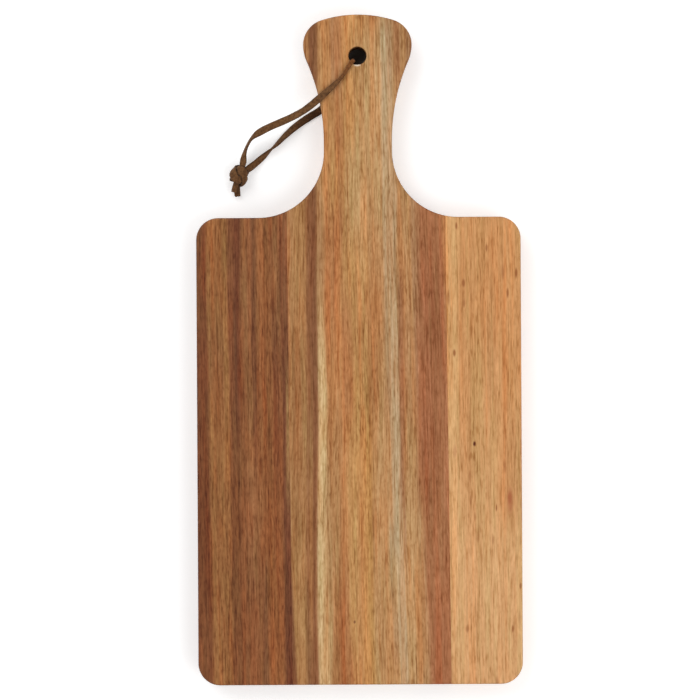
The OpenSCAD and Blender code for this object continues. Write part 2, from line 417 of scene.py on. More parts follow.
# knot: a strip that goes twice round both strands while it swings along and across them
knotSetup = {
    "middle": (-67.7, 99.5, 5.5),
    "turn": 240.0,  # the way the lace runs through it
    "radius": 3.15,
    "swing": 1.0,
    "reach": -2.75,
    "width": 4.9,
    "thick": 1.3,
    "cup": 62.0,
    "phase": 270.0,
    "steps": 180,
    "lumps": 0.22,
    "lumpRates": (0.35, 0.9),  # waves to the millimetre, the finer ones half as high
    "lumpRise": 0.5,
}


def knotPlace(s, a):
    r = s["radius"] + s["swing"] * math.cos(3 * a)
    b = 2 * a + math.radians(s["phase"])
    ahead, left = wayOut(s["turn"]), wayOut(s["turn"] + 90)
    out = left * math.cos(b) + Vector((0, 0, math.sin(b)))
    return Vector(s["middle"]) + ahead * (s["reach"] * math.sin(3 * a)) + out * r, out


def makeKnot(s):
    frames = []
    step = 2 * math.pi / s["steps"]
    broad, fine = s["lumpRates"]
    for i in range(s["steps"]):
        place, out = knotPlace(s, i * step)
        run = (knotPlace(s, (i + 0.5) * step)[0] - knotPlace(s, (i - 0.5) * step)[0]).normalized()
        across = run.cross(out).normalized()
        up = across.cross(run)
        lump = noise.noise(place * broad) + 0.5 * noise.noise(place * fine)
        wide = s["width"] * (1 + s["lumps"] * lump)
        frames.append((place + out * lump * s["lumpRise"], across, up, wide, s["thick"], s["cup"]))
    return loftStrip("lace_knot", frames, closed=True, way=0)


laceKnot = addPiece("lace_knot", makeKnot(knotSetup), "thong", "suede", suede, "thong_knot")
print("knot made")


# tails: the two short ends below the knot, cut ragged; rows of x, y, z, roll, width and cupping
tailSetup = {
    "front": [
        (-66.6, -64.4, 5.8, 0, 3.2, 50), (-68.8, -69.2, 5.8, 0, 3.0, 45), (-69.6, -71.8, 5.4, 0, 3.2, 30),
        (-70.2, -74.0, 4.8, 0, 3.4, 20), (-70.7, -76.3, 4.1, 0, 3.4, 12),
    ],
    "rear": [
        (-66.6, -64.4, 4.2, 180, 3.2, 50), (-68.6, -69.2, 4.1, 180, 3.0, 45), (-68.9, -72.4, 3.6, 180, 3.2, 30),
        (-69.0, -75.4, 2.9, 180, 3.5, 20), (-68.8, -78.6, 2.1, 180, 3.4, 12),
    ],
    "ragged": 0.9,
    "frayRun": 3.0,
    "toothRate": 900,  # waves to the metre
    "spacing": 0.3,
}


def makeTail(name, s, lace, side, seed):
    placed = [(x + lace["hole"][0], y + lace["hole"][1], *rest) for x, y, *rest in s[side]]
    fine = through(placed, s["spacing"])
    mesh = loftStrip(name, stripFrames(fine, {**lace, "spacing": s["spacing"]}, seed))
    end = Vector(fine[-1][:3]) * mm
    ahead = (end - Vector(fine[-4][:3]) * mm).normalized()
    fray = mesh.attributes.new("fray", "FLOAT", "POINT")
    for v in mesh.vertices:
        near = max(0.0, 1 - (v.co - end).length / (s["frayRun"] * mm))
        fray.data[v.index].value = near
        tooth = noise.noise(Vector((v.co.x * s["toothRate"], v.co.y * s["toothRate"], seed)))
        v.co += ahead * (near ** 3) * tooth * s["ragged"] * mm
    return mesh


frontTailMesh = makeTail("tail_front", tailSetup, laceSetup, "front", 4.0)
rearTailMesh = makeTail("tail_rear", tailSetup, laceSetup, "rear", 8.0)
tailFront = addPiece("tail_front", frontTailMesh, "thong", "suede", suede)
tailRear = addPiece("tail_rear", rearTailMesh, "thong", "suede", suede)
print("tails made")


# nap: short suede fibres that stand on the lace
napSetup = {
    "Density": 2.2e6, "Length": 0.00042, "Thickness": 0.00004, "Fray Length": 1.2, "Seed": 5,
    "Lowest": 0.0025, "Board Edge": -0.021,  # none on what lies under the handle
}


def makeNapTree():
    tree = bpy.data.node_groups.new("suedeNap", "GeometryNodeTree")
    face = tree.interface
    face.new_socket("Geometry", in_out="INPUT", socket_type="NodeSocketGeometry")
    for name in ("Density", "Length", "Thickness", "Fray Length", "Lowest", "Board Edge"):
        face.new_socket(name, in_out="INPUT", socket_type="NodeSocketFloat")
    face.new_socket("Seed", in_out="INPUT", socket_type="NodeSocketInt")
    face.new_socket("Finish", in_out="INPUT", socket_type="NodeSocketMaterial")
    face.new_socket("Geometry", in_out="OUTPUT", socket_type="NodeSocketGeometry")

    def add(kind, links, settings=None):
        made = tree.nodes.new(kind)
        for key, value in (settings or {}).items():
            setattr(made, key, value)
        for key, value in links.items():
            if isinstance(value, bpy.types.NodeSocket):
                tree.links.new(value, made.inputs[key])
            else:
                made.inputs[key].default_value = value
        return made

    given = tree.nodes.new("NodeGroupInput").outputs
    normal = add("ShaderNodeSeparateXYZ", {0: add("GeometryNodeInputNormal", {}).outputs[0]}).outputs
    place = add("ShaderNodeSeparateXYZ", {0: add("GeometryNodeInputPosition", {}).outputs[0]}).outputs
    upward = add("FunctionNodeCompare", {0: normal["Z"], 1: -0.1}, {"operation": "GREATER_THAN"})
    above = add("FunctionNodeCompare", {0: place["Z"], 1: given["Lowest"]}, {"operation": "GREATER_THAN"})
    beside = add("FunctionNodeCompare", {0: place["X"], 1: given["Board Edge"]}, {"operation": "LESS_THAN"})
    clear = add("FunctionNodeBooleanMath", {0: above.outputs[0], 1: beside.outputs[0]}, {"operation": "OR"})
    free = add("FunctionNodeBooleanMath", {0: upward.outputs[0], 1: clear.outputs[0]}, {"operation": "AND"})
    points = add("GeometryNodeDistributePointsOnFaces", {
        "Mesh": given["Geometry"], "Selection": free.outputs[0],
        "Density": given["Density"], "Seed": given["Seed"],
    })
    fray = add("GeometryNodeInputNamedAttribute", {"Name": "fray"}, {"data_type": "FLOAT"}).outputs[0]
    longer = add("ShaderNodeMath", {0: fray, 1: given["Fray Length"], 2: 1.0}, {"operation": "MULTIPLY_ADD"})
    number = add("GeometryNodeInputID", {}).outputs[0]
    size = add("FunctionNodeRandomValue", {2: 0.5, 3: 1.25, "ID": number, "Seed": 1})
    scale = add("ShaderNodeMath", {0: size.outputs[1], 1: longer.outputs[0]}, {"operation": "MULTIPLY"})
    lean = add("FunctionNodeRandomValue", {0: (-0.9, -0.9, -3.1), 1: (0.9, 0.9, 3.1), "Seed": 2}, {
        "data_type": "FLOAT_VECTOR",
    })
    turned = add("FunctionNodeRotateRotation", {0: points.outputs["Rotation"], 1: lean.outputs[0]}, {
        "rotation_space": "LOCAL",
    })
    fibre = add("GeometryNodeMeshCone", {
        "Vertices": 3, "Side Segments": 1, "Radius Top": 0.0,
        "Radius Bottom": given["Thickness"], "Depth": given["Length"],
    }, {"fill_type": "NGON"})
    placed = add("GeometryNodeInstanceOnPoints", {
        "Points": points.outputs["Points"], "Instance": fibre.outputs["Mesh"],
        "Rotation": turned.outputs[0], "Scale": scale.outputs[0],
    })
    real = add("GeometryNodeRealizeInstances", {0: placed.outputs[0]})
    dressed = add("GeometryNodeSetMaterial", {"Geometry": real.outputs[0], "Material": given["Finish"]})
    add("NodeGroupOutput", {0: dressed.outputs[0]})
    return tree


def growNap(s, pieces, material):
    joined = bmesh.new()
    for piece in pieces:
        joined.from_mesh(piece.data)
    base = bpy.data.meshes.new("nap_base")
    joined.to_mesh(base)
    joined.free()
    holder = bpy.data.objects.new("nap_base", base)
    scene.collection.objects.link(holder)
    tree = makeNapTree()
    grow = holder.modifiers.new("nap", "NODES")
    grow.node_group = tree
    for item in tree.interface.items_tree:
        if item.in_out == "INPUT" and item.name in s:
            grow[item.identifier] = s[item.name]
        elif item.in_out == "INPUT" and item.name == "Finish":
            grow[item.identifier] = material
    shown = holder.evaluated_get(bpy.context.evaluated_depsgraph_get())
    mesh = bpy.data.meshes.new_from_object(shown)
    bpy.data.objects.remove(holder)
    bpy.data.meshes.remove(base)
    return mesh


napMesh = growNap(napSetup, [laceFront, laceRear, laceKnot, tailFront, tailRear], suede)
laceNap = addPiece("lace_nap", napMesh, "thong", "suede", suede)
print("nap grown:", len(laceNap.data.polygons), "faces")

# board: outline, eased edges, three staves and the hole
boardSetup = {
    "bladeWide": 184.0, "bladeLong": 265.0, "cornerR": 12.5,
    "handleLong": 115.0, "neckWide": 38.7, "neckRun": 5.5, "shoulderR": 37.5,
    "headWide": 61.6, "headDrop": 17.2, "flankR": 20.0, "crownR": 68.0,
    "underZ": 1.5, "faceZ": 16.5, "edgeR": 1.5, "edgeSteps": 8, "arcStep": 2.0, "band": 0.6,
    "joints": (-40.0, 50.0), "lean": 0.45,  # glue lines
    "hole": laceSetup["hole"], "holeR": 5.0, "holeEase": 0.8, "holeSides": 96, "easeSteps": 6,
    "sharp": 40.0,
}


def arcPoints(centre, r, start, end, sense, step, skip=0):  # each point with its way out of the wood
    count = math.ceil(abs(end - start) / step)
    points = []
    for i in range(skip, count + 1):
        a = math.radians(start + (end - start) * i / count)
        out = Vector((math.cos(a), math.sin(a)))
        points.append((Vector(centre) + r * out, sense * out))
    return points


def outlineSide(s):  # right-hand side, from the foot up to the end of the handle
    foot, end = -(s["bladeLong"] + s["handleLong"]) / 2, (s["bladeLong"] + s["handleLong"]) / 2
    shoulder, headY = foot + s["bladeLong"], end - s["headDrop"]
    neckY = shoulder + s["shoulderR"] + s["neckRun"]
    half, neck, head = s["bladeWide"] / 2, s["neckWide"] / 2, s["headWide"] / 2
    flareOut, flareUp = head - neck, headY - neckY
    flareR = (flareOut ** 2 + flareUp ** 2) / (2 * flareOut) - s["flankR"]
    flare = math.degrees(math.asin(flareUp / (flareR + s["flankR"])))
    tipR = (2 * s["crownR"] * s["headDrop"] - head ** 2 - s["headDrop"] ** 2) / (2 * (s["crownR"] - head))
    crown = math.degrees(math.atan2(head - tipR, s["crownR"] - s["headDrop"]))
    inner, step = half - s["cornerR"], s["arcStep"]
    blade = arcPoints((inner, foot + s["cornerR"]), s["cornerR"], -90, 0, 1, step)
    blade += arcPoints((inner, shoulder - s["cornerR"]), s["cornerR"], 0, 90, 1, step)
    handle = arcPoints((neck + s["shoulderR"], shoulder + s["shoulderR"]), s["shoulderR"], -90, -180, -1, step)
    handle += arcPoints((neck + flareR, neckY), flareR, 180, 180 - flare, -1, step / 2)
    handle += arcPoints((head - s["flankR"], headY), s["flankR"], -flare, 0, 1, step, 1)
    handle += arcPoints((head - tipR, headY), tipR, 0, 90 - crown, 1, step, 1)
    handle += arcPoints((0, end - s["crownR"]), s["crownR"], 90 - crown, 89.4, 1, step / 2, 1)
    return blade, handle


def makeBlank(s):
    blade, handle = outlineSide(s)
    side = blade + handle
    rings = [(s["edgeR"] + s["band"], s["underZ"])]
    for i in range(s["edgeSteps"] + 1):
        a = math.pi / 2 * i / s["edgeSteps"]
        rings.append((s["edgeR"] * (1 - math.sin(a)), s["underZ"] + s["edgeR"] * (1 - math.cos(a))))
    rings += [(inset, s["faceZ"] + s["underZ"] - z) for inset, z in reversed(rings)]
    bm = bmesh.new()
    loops = []
    for inset, z in rings:
        right = [p - inset * out for p, out in side]
        ring = [(p.x, p.y) for p in right] + [(-p.x, p.y) for p in reversed(right)]
        loops.append([bm.verts.new((x * mm, y * mm, z * mm)) for x, y in ring])
    count = len(loops[0])
    for low, high in zip(loops, loops[1:]):
        for j in range(count):
            k = (j + 1) % count
            bm.faces.new((low[j], low[k], high[k], high[j]))
    for loop in (loops[0], loops[-1]):  # the blade as one face, the handle in strips from side to side
        rows = len(blade)
        bm.faces.new([loop[i] for i in range(rows + 1)] + [loop[count - 1 - i] for i in range(rows, -1, -1)])
        for i in range(rows, len(side) - 1):
            bm.faces.new((loop[i], loop[i + 1], loop[count - 2 - i], loop[count - 1 - i]))
    bmesh.ops.recalc_face_normals(bm, faces=bm.faces)
    return bm


def cutStave(blank, s, left, right):  # what lies between two glue lines
    bm = blank.copy()
    lean = math.radians(s["lean"])
    across = Vector((math.cos(lean), math.sin(lean), 0))
    for place, way in ((left, -1), (right, 1)):
        if place is None:
            continue
        geom = bm.verts[:] + bm.edges[:] + bm.faces[:]
        at, outward = across * place * mm, across * way
        cut = bmesh.ops.bisect_plane(bm, geom=geom, plane_co=at, plane_no=outward, clear_outer=True, dist=1e-7)
        edges = [e for e in cut["geom_cut"] if isinstance(e, bmesh.types.BMEdge)]
        bmesh.ops.edgeloop_fill(bm, edges=edges)
    bmesh.ops.recalc_face_normals(bm, faces=bm.faces)
    return bm


def drillHole(bm, s):  # a round hole with rounded rims
    profile, sides = [], s["holeSides"]
    for i in range(s["easeSteps"] + 1):
        a = math.pi / 2 * i / s["easeSteps"]
        profile.append((s["holeR"] + s["holeEase"] * (1 - math.cos(a)), s["holeEase"] * (1 - math.sin(a))))
    lower = [(r, s["underZ"] + z) for r, z in reversed(profile)]
    upper = [(r, s["faceZ"] - z) for r, z in profile]
    steps = [(lower[0][0], s["underZ"] - 1), *lower, *upper, (upper[-1][0], s["faceZ"] + 1)]
    plug = bmesh.new()
    rounds = []
    for r, z in steps:
        ring = []
        for i in range(sides):
            a = 2 * math.pi * i / sides
            x, y = s["hole"][0] + r * math.cos(a), s["hole"][1] + r * math.sin(a)
            ring.append(plug.verts.new((x * mm, y * mm, z * mm)))
        rounds.append(ring)
    for low, high in zip(rounds, rounds[1:]):
        for i in range(sides):
            k = (i + 1) % sides
            plug.faces.new((low[i], low[k], high[k], high[i]))
    plug.faces.new(rounds[0])
    plug.faces.new(rounds[-1])
    bmesh.ops.recalc_face_normals(plug, faces=plug.faces)
    held = []
    for name, mesh in (("stave_blank", bm), ("hole_plug", plug)):
        data = bpy.data.meshes.new(name)
        mesh.to_mesh(data)
        held.append(bpy.data.objects.new(name, data))
        scene.collection.objects.link(held[-1])
    cut = held[0].modifiers.new("hole", "BOOLEAN")
    cut.object, cut.operation, cut.solver = held[1], "DIFFERENCE", "EXACT"
    shown = held[0].evaluated_get(bpy.context.evaluated_depsgraph_get())
    result = bpy.data.meshes.new_from_object(shown)
    for old in held:
        bpy.data.objects.remove(old)
    return result


def staveMesh(bm, name):
    mesh = bpy.data.meshes.new(name)
    bm.to_mesh(mesh)
    return mesh


def smoothStave(mesh, name, s):
    mesh.name = name
    mesh.polygons.foreach_set("use_smooth", [True] * len(mesh.polygons))
    mesh.set_sharp_from_angle(angle=math.radians(s["sharp"]))
    return mesh


# wood tones, as a screen shows them
woodTones = {
    "umber": (112, 66, 41), "redBrown": (123, 72, 40), "darkRed": (112, 62, 38), "chestnut": (147, 94, 56),
    "rust": (155, 99, 57), "orangeBrown": (163, 99, 53), "honeyBrown": (158, 105, 60), "darkTan": (139, 89, 54),
    "tan": (178, 129, 80), "greyTan": (174, 127, 83), "greyHoney": (196, 153, 103), "sapwood": (213, 178, 127),
    "rosy": (184, 128, 78), "russet": (176, 115, 70), "honey": (200, 147, 90), "amber": (208, 146, 80),
    "dun": (154, 110, 78), "wheat": (186, 138, 90), "greyGreen": (191, 163, 125), "greyBrown": (174, 128, 88),
    "heart": (170, 111, 72), "redHeart": (160, 94, 59), "straw": (222, 175, 118), "orangeTan": (210, 153, 99),
    "paleTan": (221, 170, 119), "fleck": (150, 88, 44), "smudge": (166, 90, 54), "pin": (82, 18, 0),
    "rimGlint": (246, 230, 210),
}
# each stave's figure, in millimetres
# bands: where a tone begins or ends, from left to right
# streaks: tone, share, then height, left edge and right edge at the top and at the foot, softness of the
# left and right edges, fade at the top and at the foot
# marks: x, y, half width, half height, tone, share
staveFigures = {
    "left": {
        "span": (-97.0, -36.0),
        "bands": [
            (-92, "redBrown"), (-86.3, "redBrown"), (-84.5, "honeyBrown"), (-75, "honeyBrown"), (-73, "rust"),
            (-63, "chestnut"), (-55.4, "rust"), (-50.4, "rust"), (-47, "chestnut"), (-40, "chestnut"),
        ],
        "streaks": [
            ("darkRed", 0.6, (90, -74.4, -70.4), (-60, -72.6, -70), (1.0, 0.8), (10, 50)),
            ("umber", 0.95, (90, -70.6, -66.4), (-50, -70.4, -67), (0.9, 1.2), (10, 60)),
            ("redBrown", 0.55, (-50, -72.6, -66.8), (-195, -71.8, -66.2), (1.4, 1.4), (50, 5)),
            ("umber", 0.65, (90, -61.4, -58.2), (-60, -59.8, -57.6), (0.8, 0.8), (10, 50)),
            ("umber", 0.45, (24, -49.2, -45), (-72, -48, -44.4), (0.8, 1.0), (20, 30)),
            ("umber", 0.3, (88, -44.8, -39.6), (24, -44.4, -39.2), (0.8, 0.8), (10, 15)),
            ("umber", 0.28, (16, -90.5, -76), (-34, -90.5, -76), (1.2, 1.2), (15, 15)),
            ("redBrown", 0.4, (-110, -64, -55), (-195, -64, -54.6), (1.5, 1.0), (30, 5)),
            ("umber", 0.6, (-110, -55, -52.4), (-195, -55, -51.5), (0.8, 0.8), (40, 5)),
            ("orangeBrown", 0.6, (-90, -51.2, -43.5), (-195, -50.8, -42.8), (1.5, 1.5), (60, 5)),
            ("darkRed", 0.82, (30, -43.8, -38), (-195, -42, -36), (0.9, 0.5), (60, 5)),
            ("tan", 0.65, (-12, -41.4, -37), (-80, -41.4, -37), (0.6, 0.5), (18, 22)),
        ],
        "marks": [],
        "lean": 0.013, "fan": 0.0, "sway": 1.2, "feather": 3.0, "through": 0.5, "seed": 3.0,
        "flecks": 0.0, "dashes": 1.1, "mottles": 1.25, "tints": 0.85,
        "dark": (0.6, 0.47, 0.36), "pale": (1.22, 1.27, 1.34), "paleFoot": 0.0,
    },
    "middle": {
        "span": (-46.0, 56.0),
        "bands": [
            (-41, "greyTan"), (-36, "tan"), (-31.2, "tan"), (-28.4, "darkTan"), (-23.8, "darkTan"),
            (-23, "greyTan"), (-18.5, "rosy"), (-9.5, "rosy"), (-4.5, "honey"), (4, "honey"), (7, "rosy"),
            (11.5, "rosy"), (15, "wheat"), (30, "wheat"), (32, "greyBrown"), (36.5, "heart"), (48, "heart"),
            (51, "rosy"),
        ],
        "streaks": [
            ("darkRed", 0.75, (-125, -44, -38.4), (-195, -44, -35.6), (0.5, 0.9), (25, 5)),
            ("darkTan", 0.95, (192, -26.2, -22.6), (118, -26.6, -22.9), (1.6, 0.5), (5, 12)),
            ("rosy", 0.6, (192, -36, -27.6), (146, -36, -27.8), (0.5, 1.0), (5, 10)),
            ("darkTan", 0.25, (78, -22.6, -17.6), (34, -22.6, -18), (0.6, 1.2), (15, 20)),
            ("umber", 0.3, (190, -27, -24.4), (-60, -27, -24.6), (0.8, 0.3), (10, 50)),
            ("tan", 0.55, (-40, -28.6, -26.4), (-180, -28.6, -26.4), (0.8, 0.8), (40, 30)),
            ("sapwood", 0.92, (18, -23.2, -19.8), (-152, -24.2, -13.8), (1.2, 1.2), (42, 4)),
            ("sapwood", 0.85, (-152, -24.2, -13.8), (-195, -23.2, -16.2), (1.2, 1.2), (4, 5)),
            ("russet", 0.58, (78, -18.5, -12), (10, -17.5, -12.5), (1.5, 1.5), (15, 40)),
            ("russet", 0.8, (-122, -13.6, -7), (-195, -16.4, -2.4), (1.2, 2.2), (30, 5)),
            ("greyBrown", 0.6, (192, -15.6, -9.6), (143, -14.8, -9.2), (1.0, 1.0), (5, 12)),
            ("honey", 0.42, (192, -22, -15.8), (72, -20.5, -14.2), (1.2, 0.8), (5, 40)),
            ("rosy", 0.5, (-104, -2, 7), (-195, -2, 8), (2.0, 1.5), (40, 5)),
            ("greyHoney", 0.7, (-22, 6.5, 13.5), (-195, 8.5, 16), (1.2, 1.5), (18, 5)),
            ("greyHoney", 0.7, (-70, 15, 34), (-195, 16.5, 39.5), (1.5, 2.0), (60, 5)),
            ("greyHoney", 0.82, (178, -2, 14), (56, -1, 14), (3, 2), (10, 40)),
            ("greyGreen", 0.8, (186, 12.6, 19.4), (-20, 15.4, 22.2), (1.0, 1.0), (10, 30)),
            ("greyGreen", 0.86, (-10, 15.8, 21.6), (-195, 23.6, 27.4), (0.7, 0.7), (30, 5)),
            ("dun", 0.66, (46, 22.0, 25.3), (-105, 22.6, 25.4), (0.6, 1.0), (14, 40)),
            ("dun", 0.6, (-75, 24.6, 25.8), (-130, 26, 27.2), (0.5, 0.6), (20, 30)),
            ("russet", 0.65, (28, -9.6, -3.6), (-40, -9.6, -3.6), (0.8, 1.2), (15, 15)),
            ("rosy", 0.5, (36, -4, 6.5), (-14, -4, 6.5), (1.5, 1.5), (15, 12)),
            ("greyHoney", 0.8, (116, -6.8, 2), (66, -6.8, 2), (1.0, 1.0), (15, 20)),
            ("honey", 0.65, (118, -16.4, -8.4), (84, -16.4, -8.4), (0.8, 0.8), (10, 12)),
            ("chestnut", 0.38, (12, -38, -31.5), (-110, -36.5, -31), (1.0, 1.0), (20, 20)),
            ("greyTan", 0.6, (18, 13.4, 18), (-34, 13.4, 18), (0.8, 0.8), (15, 15)),
            ("wheat", 0.62, (-38, -19, -8.4), (-148, -18.5, -12), (1.2, 1.2), (20, 12)),
            ("redHeart", 0.58, (50, 33, 47), (-74, 33.5, 47), (1.5, 2.0), (40, 30)),
            ("heart", 0.3, (24, 23, 41), (-36, 23.5, 41.5), (2, 2), (20, 20)),
            ("redHeart", 0.55, (-150, 41, 48.5), (-195, 42, 49.5), (2, 1.5), (30, 5)),
            ("greyBrown", 0.45, (192, 16, 25), (150, 16, 25), (1.0, 1.0), (5, 12)),
            ("greyGreen", 0.85, (-100, 17, 22), (-174, 19.4, 23.4), (1.0, 1.0), (16, 16)),
            ("sapwood", 0.4, (-116, 18, 22), (-150, 18.6, 22.4), (1.0, 1.0), (10, 10)),
            ("amber", 0.42, (-34, 2.2, 7.4), (-195, 2.8, 9.2), (1.2, 1.2), (15, 5)),
            ("greyGreen", 0.6, (98, 17.6, 22.4), (66, 18.4, 22), (1.0, 1.0), (12, 10)),
            ("russet", 0.5, (134, -11.4, -8), (68, -11, -7.4), (0.8, 0.6), (12, 14)),
            ("rust", 0.5, (192, 20.8, 24), (158, 20.8, 24), (0.8, 0.8), (5, 10)),
        ],
        "marks": [(-3.3, -154.3, 0.7, 1.0, "pin", 0.65)],
        "lean": 0.009, "fan": 0.00035, "sway": 1.2, "feather": 2.4, "through": -0.4, "seed": 17.0,
        "flecks": 0.15, "dashes": 1.25, "mottles": 1.2, "tints": 0.55,
        "dark": (0.66, 0.54, 0.39), "pale": (1.16, 1.21, 1.3), "paleFoot": 0.0,
    },
    "right": {
        "span": (44.0, 97.0),
        "bands": [(49, "straw"), (53, "straw"), (56.5, "orangeTan"), (92, "orangeTan")],
        "streaks": [
            ("russet", 0.3, (16, 72, 77), (-34, 72, 77), (1.5, 1.5), (12, 12)),
            ("orangeTan", 0.7, (-46, 77, 87), (-104, 77, 87), (2, 2), (12, 15)),
            ("rosy", 0.34, (-46, 82, 94), (-104, 82, 94), (2, 1), (12, 15)),
            ("orangeTan", 0.5, (90, 48, 53), (-34, 49, 53.5), (0.5, 1.0), (5, 30)),
        ],
        "marks": [
            (65.1, -53.7, 0.85, 1.5, "pin", 0.95), (59.4, 37.4, 0.9, 2.6, "fleck", 0.8),
            (55.5, 69.8, 0.7, 2.2, "fleck", 0.8), (72.5, 57.3, 0.7, 2.4, "fleck", 0.7),
            (89.3, 43.0, 0.8, 3.0, "fleck", 0.9), (84.4, 31.7, 0.7, 3.0, "fleck", 0.8),
            (54.0, -2.1, 0.9, 2.2, "fleck", 0.85), (59.6, 25.9, 0.8, 2.6, "fleck", 0.6),
            (60.6, -158.5, 0.8, 2.6, "fleck", 0.6), (86.3, -158.6, 0.7, 2.2, "fleck", 0.8),
            (85.2, -86.0, 2.0, 8.0, "smudge", 0.6), (85.0, -84.5, 1.2, 3.6, "smudge", 0.6),
            (77.4, -90.0, 0.5, 2.2, "fleck", 0.8), (66.8, -107.0, 1.0, 3.0, "fleck", 0.4),
            (62.4, -72.0, 0.7, 3.4, "fleck", 0.45), (62.8, -85.5, 0.6, 3.0, "fleck", 0.45),
            (65.2, -95.0, 0.6, 3.0, "fleck", 0.4), (75.4, -108.2, 0.7, 3.0, "fleck", 0.45),
            (54.0, -58.0, 1.2, 4.0, "smudge", 0.35), (90.8, -134.3, 0.8, 2.0, "fleck", 0.8),
        ],
        "lean": 0.008, "fan": 0.0, "sway": 1.5, "feather": 2.5, "through": 0.3, "seed": 29.0,
        "flecks": 0.55, "dashes": 1.3, "mottles": 0.95, "tints": 0.35,
        "dark": (0.73, 0.63, 0.49), "pale": (1.12, 1.14, 1.18), "paleFoot": 0.75,
    },
}
# rates are in waves to the millimetre: across the grain, along it, through the thickness
woodGrain = {
    "sway": (0.015, 0.008, 0.03),
    "figure": (0.3, 0.0045, 0.2), "figureShare": 0.55,
    "ring": (0.42, 0.004, 0.25), "ringWide": 0.05, "ringShare": 0.5,
    "fibre": (1.05, 0.055, 0.6), "fibreRagged": 0.8,
    "dash": (1.3, 0.14, 0.9), "dashShare": 0.75, "glowShare": 0.55,
    "mottle": (0.9, 0.3, 0.5), "mottleShare": 0.42,
    "cloud": (0.07, 0.012, 0.1), "cloudShare": 0.3,
    "blush": (0.26, 0.007, 0.2), "tint": (0.28, 0.026, 0.2),
    "red": (1.08, 0.95, 0.86), "olive": (0.95, 1.03, 1.0),
    "fleck": (0.15, 0.03, 0.1),
    "paleRun": (20.0, -150.0),
    # painted shade on the sides and eased edges of the staves
    "side": (0.7, 0.64, 0.6), "sideShadeShare": 0.4,
    "end": (0.62, 0.54, 0.48), "endShare": 0.5,  # end grain drinks more oil
    "boreShade": (0.2, 0.16, 0.14), "boreShadeShare": 0.9, "boreShadeRun": (6.2, 5.4),  # painted shade on the walls of the hole
    "glintAt": (-0.15, -5.25), "glintHalf": (1.9, 0.75), "glintShare": 0.85,  # painted highlight on the rim of the hole, beside the lace
    "roughness": 0.55, "bump": 0.25, "bumpDepth": 0.0001, "shine": 0.22,
}


def paintStreaks(colour, streaks, across, y, cloud):
    for tone, most, top, foot, soft, fade in streaks:
        (topY, topLeft, topRight), (footY, footLeft, footRight) = top, foot
        down = (topY - y) / (topY - footY)
        left = down * (footLeft - topLeft) + topLeft
        right = down * (footRight - topRight) + topRight
        share = rise(across - left, -soft[0], soft[0]) * rise(right - across, -soft[1], soft[1])
        for edgeY, length, way in ((topY, fade[0], 1), (footY, fade[1], -1)):
            patchy = y + (cloud - 0.5) * min(60, 2 * length)
            share = share * rise(patchy, edgeY + way * length, edgeY - way * length)
        colour = mixed(share * most, colour, linear(woodTones[tone]))
    return colour


def paintFlecks(colour, s, rates, grain, y, z):
    spread = [(grain + s["seed"]) * rates[0], y * rates[1], z * rates[2]]
    place = y.node("CombineXYZ", None, dict(enumerate(spread)))
    cell = y.node("TexVoronoi", None, {"Vector": place, "Scale": 1.0}, out="Distance")
    chosen = y.node("SeparateXYZ", None, {0: cell.other("Color")}).other("X")
    share = rise(cell, 0.2, 0.07) * rise(chosen, 0.5, 0.6) * s["flecks"]
    return mixed(share, colour, linear(woodTones["fleck"]))


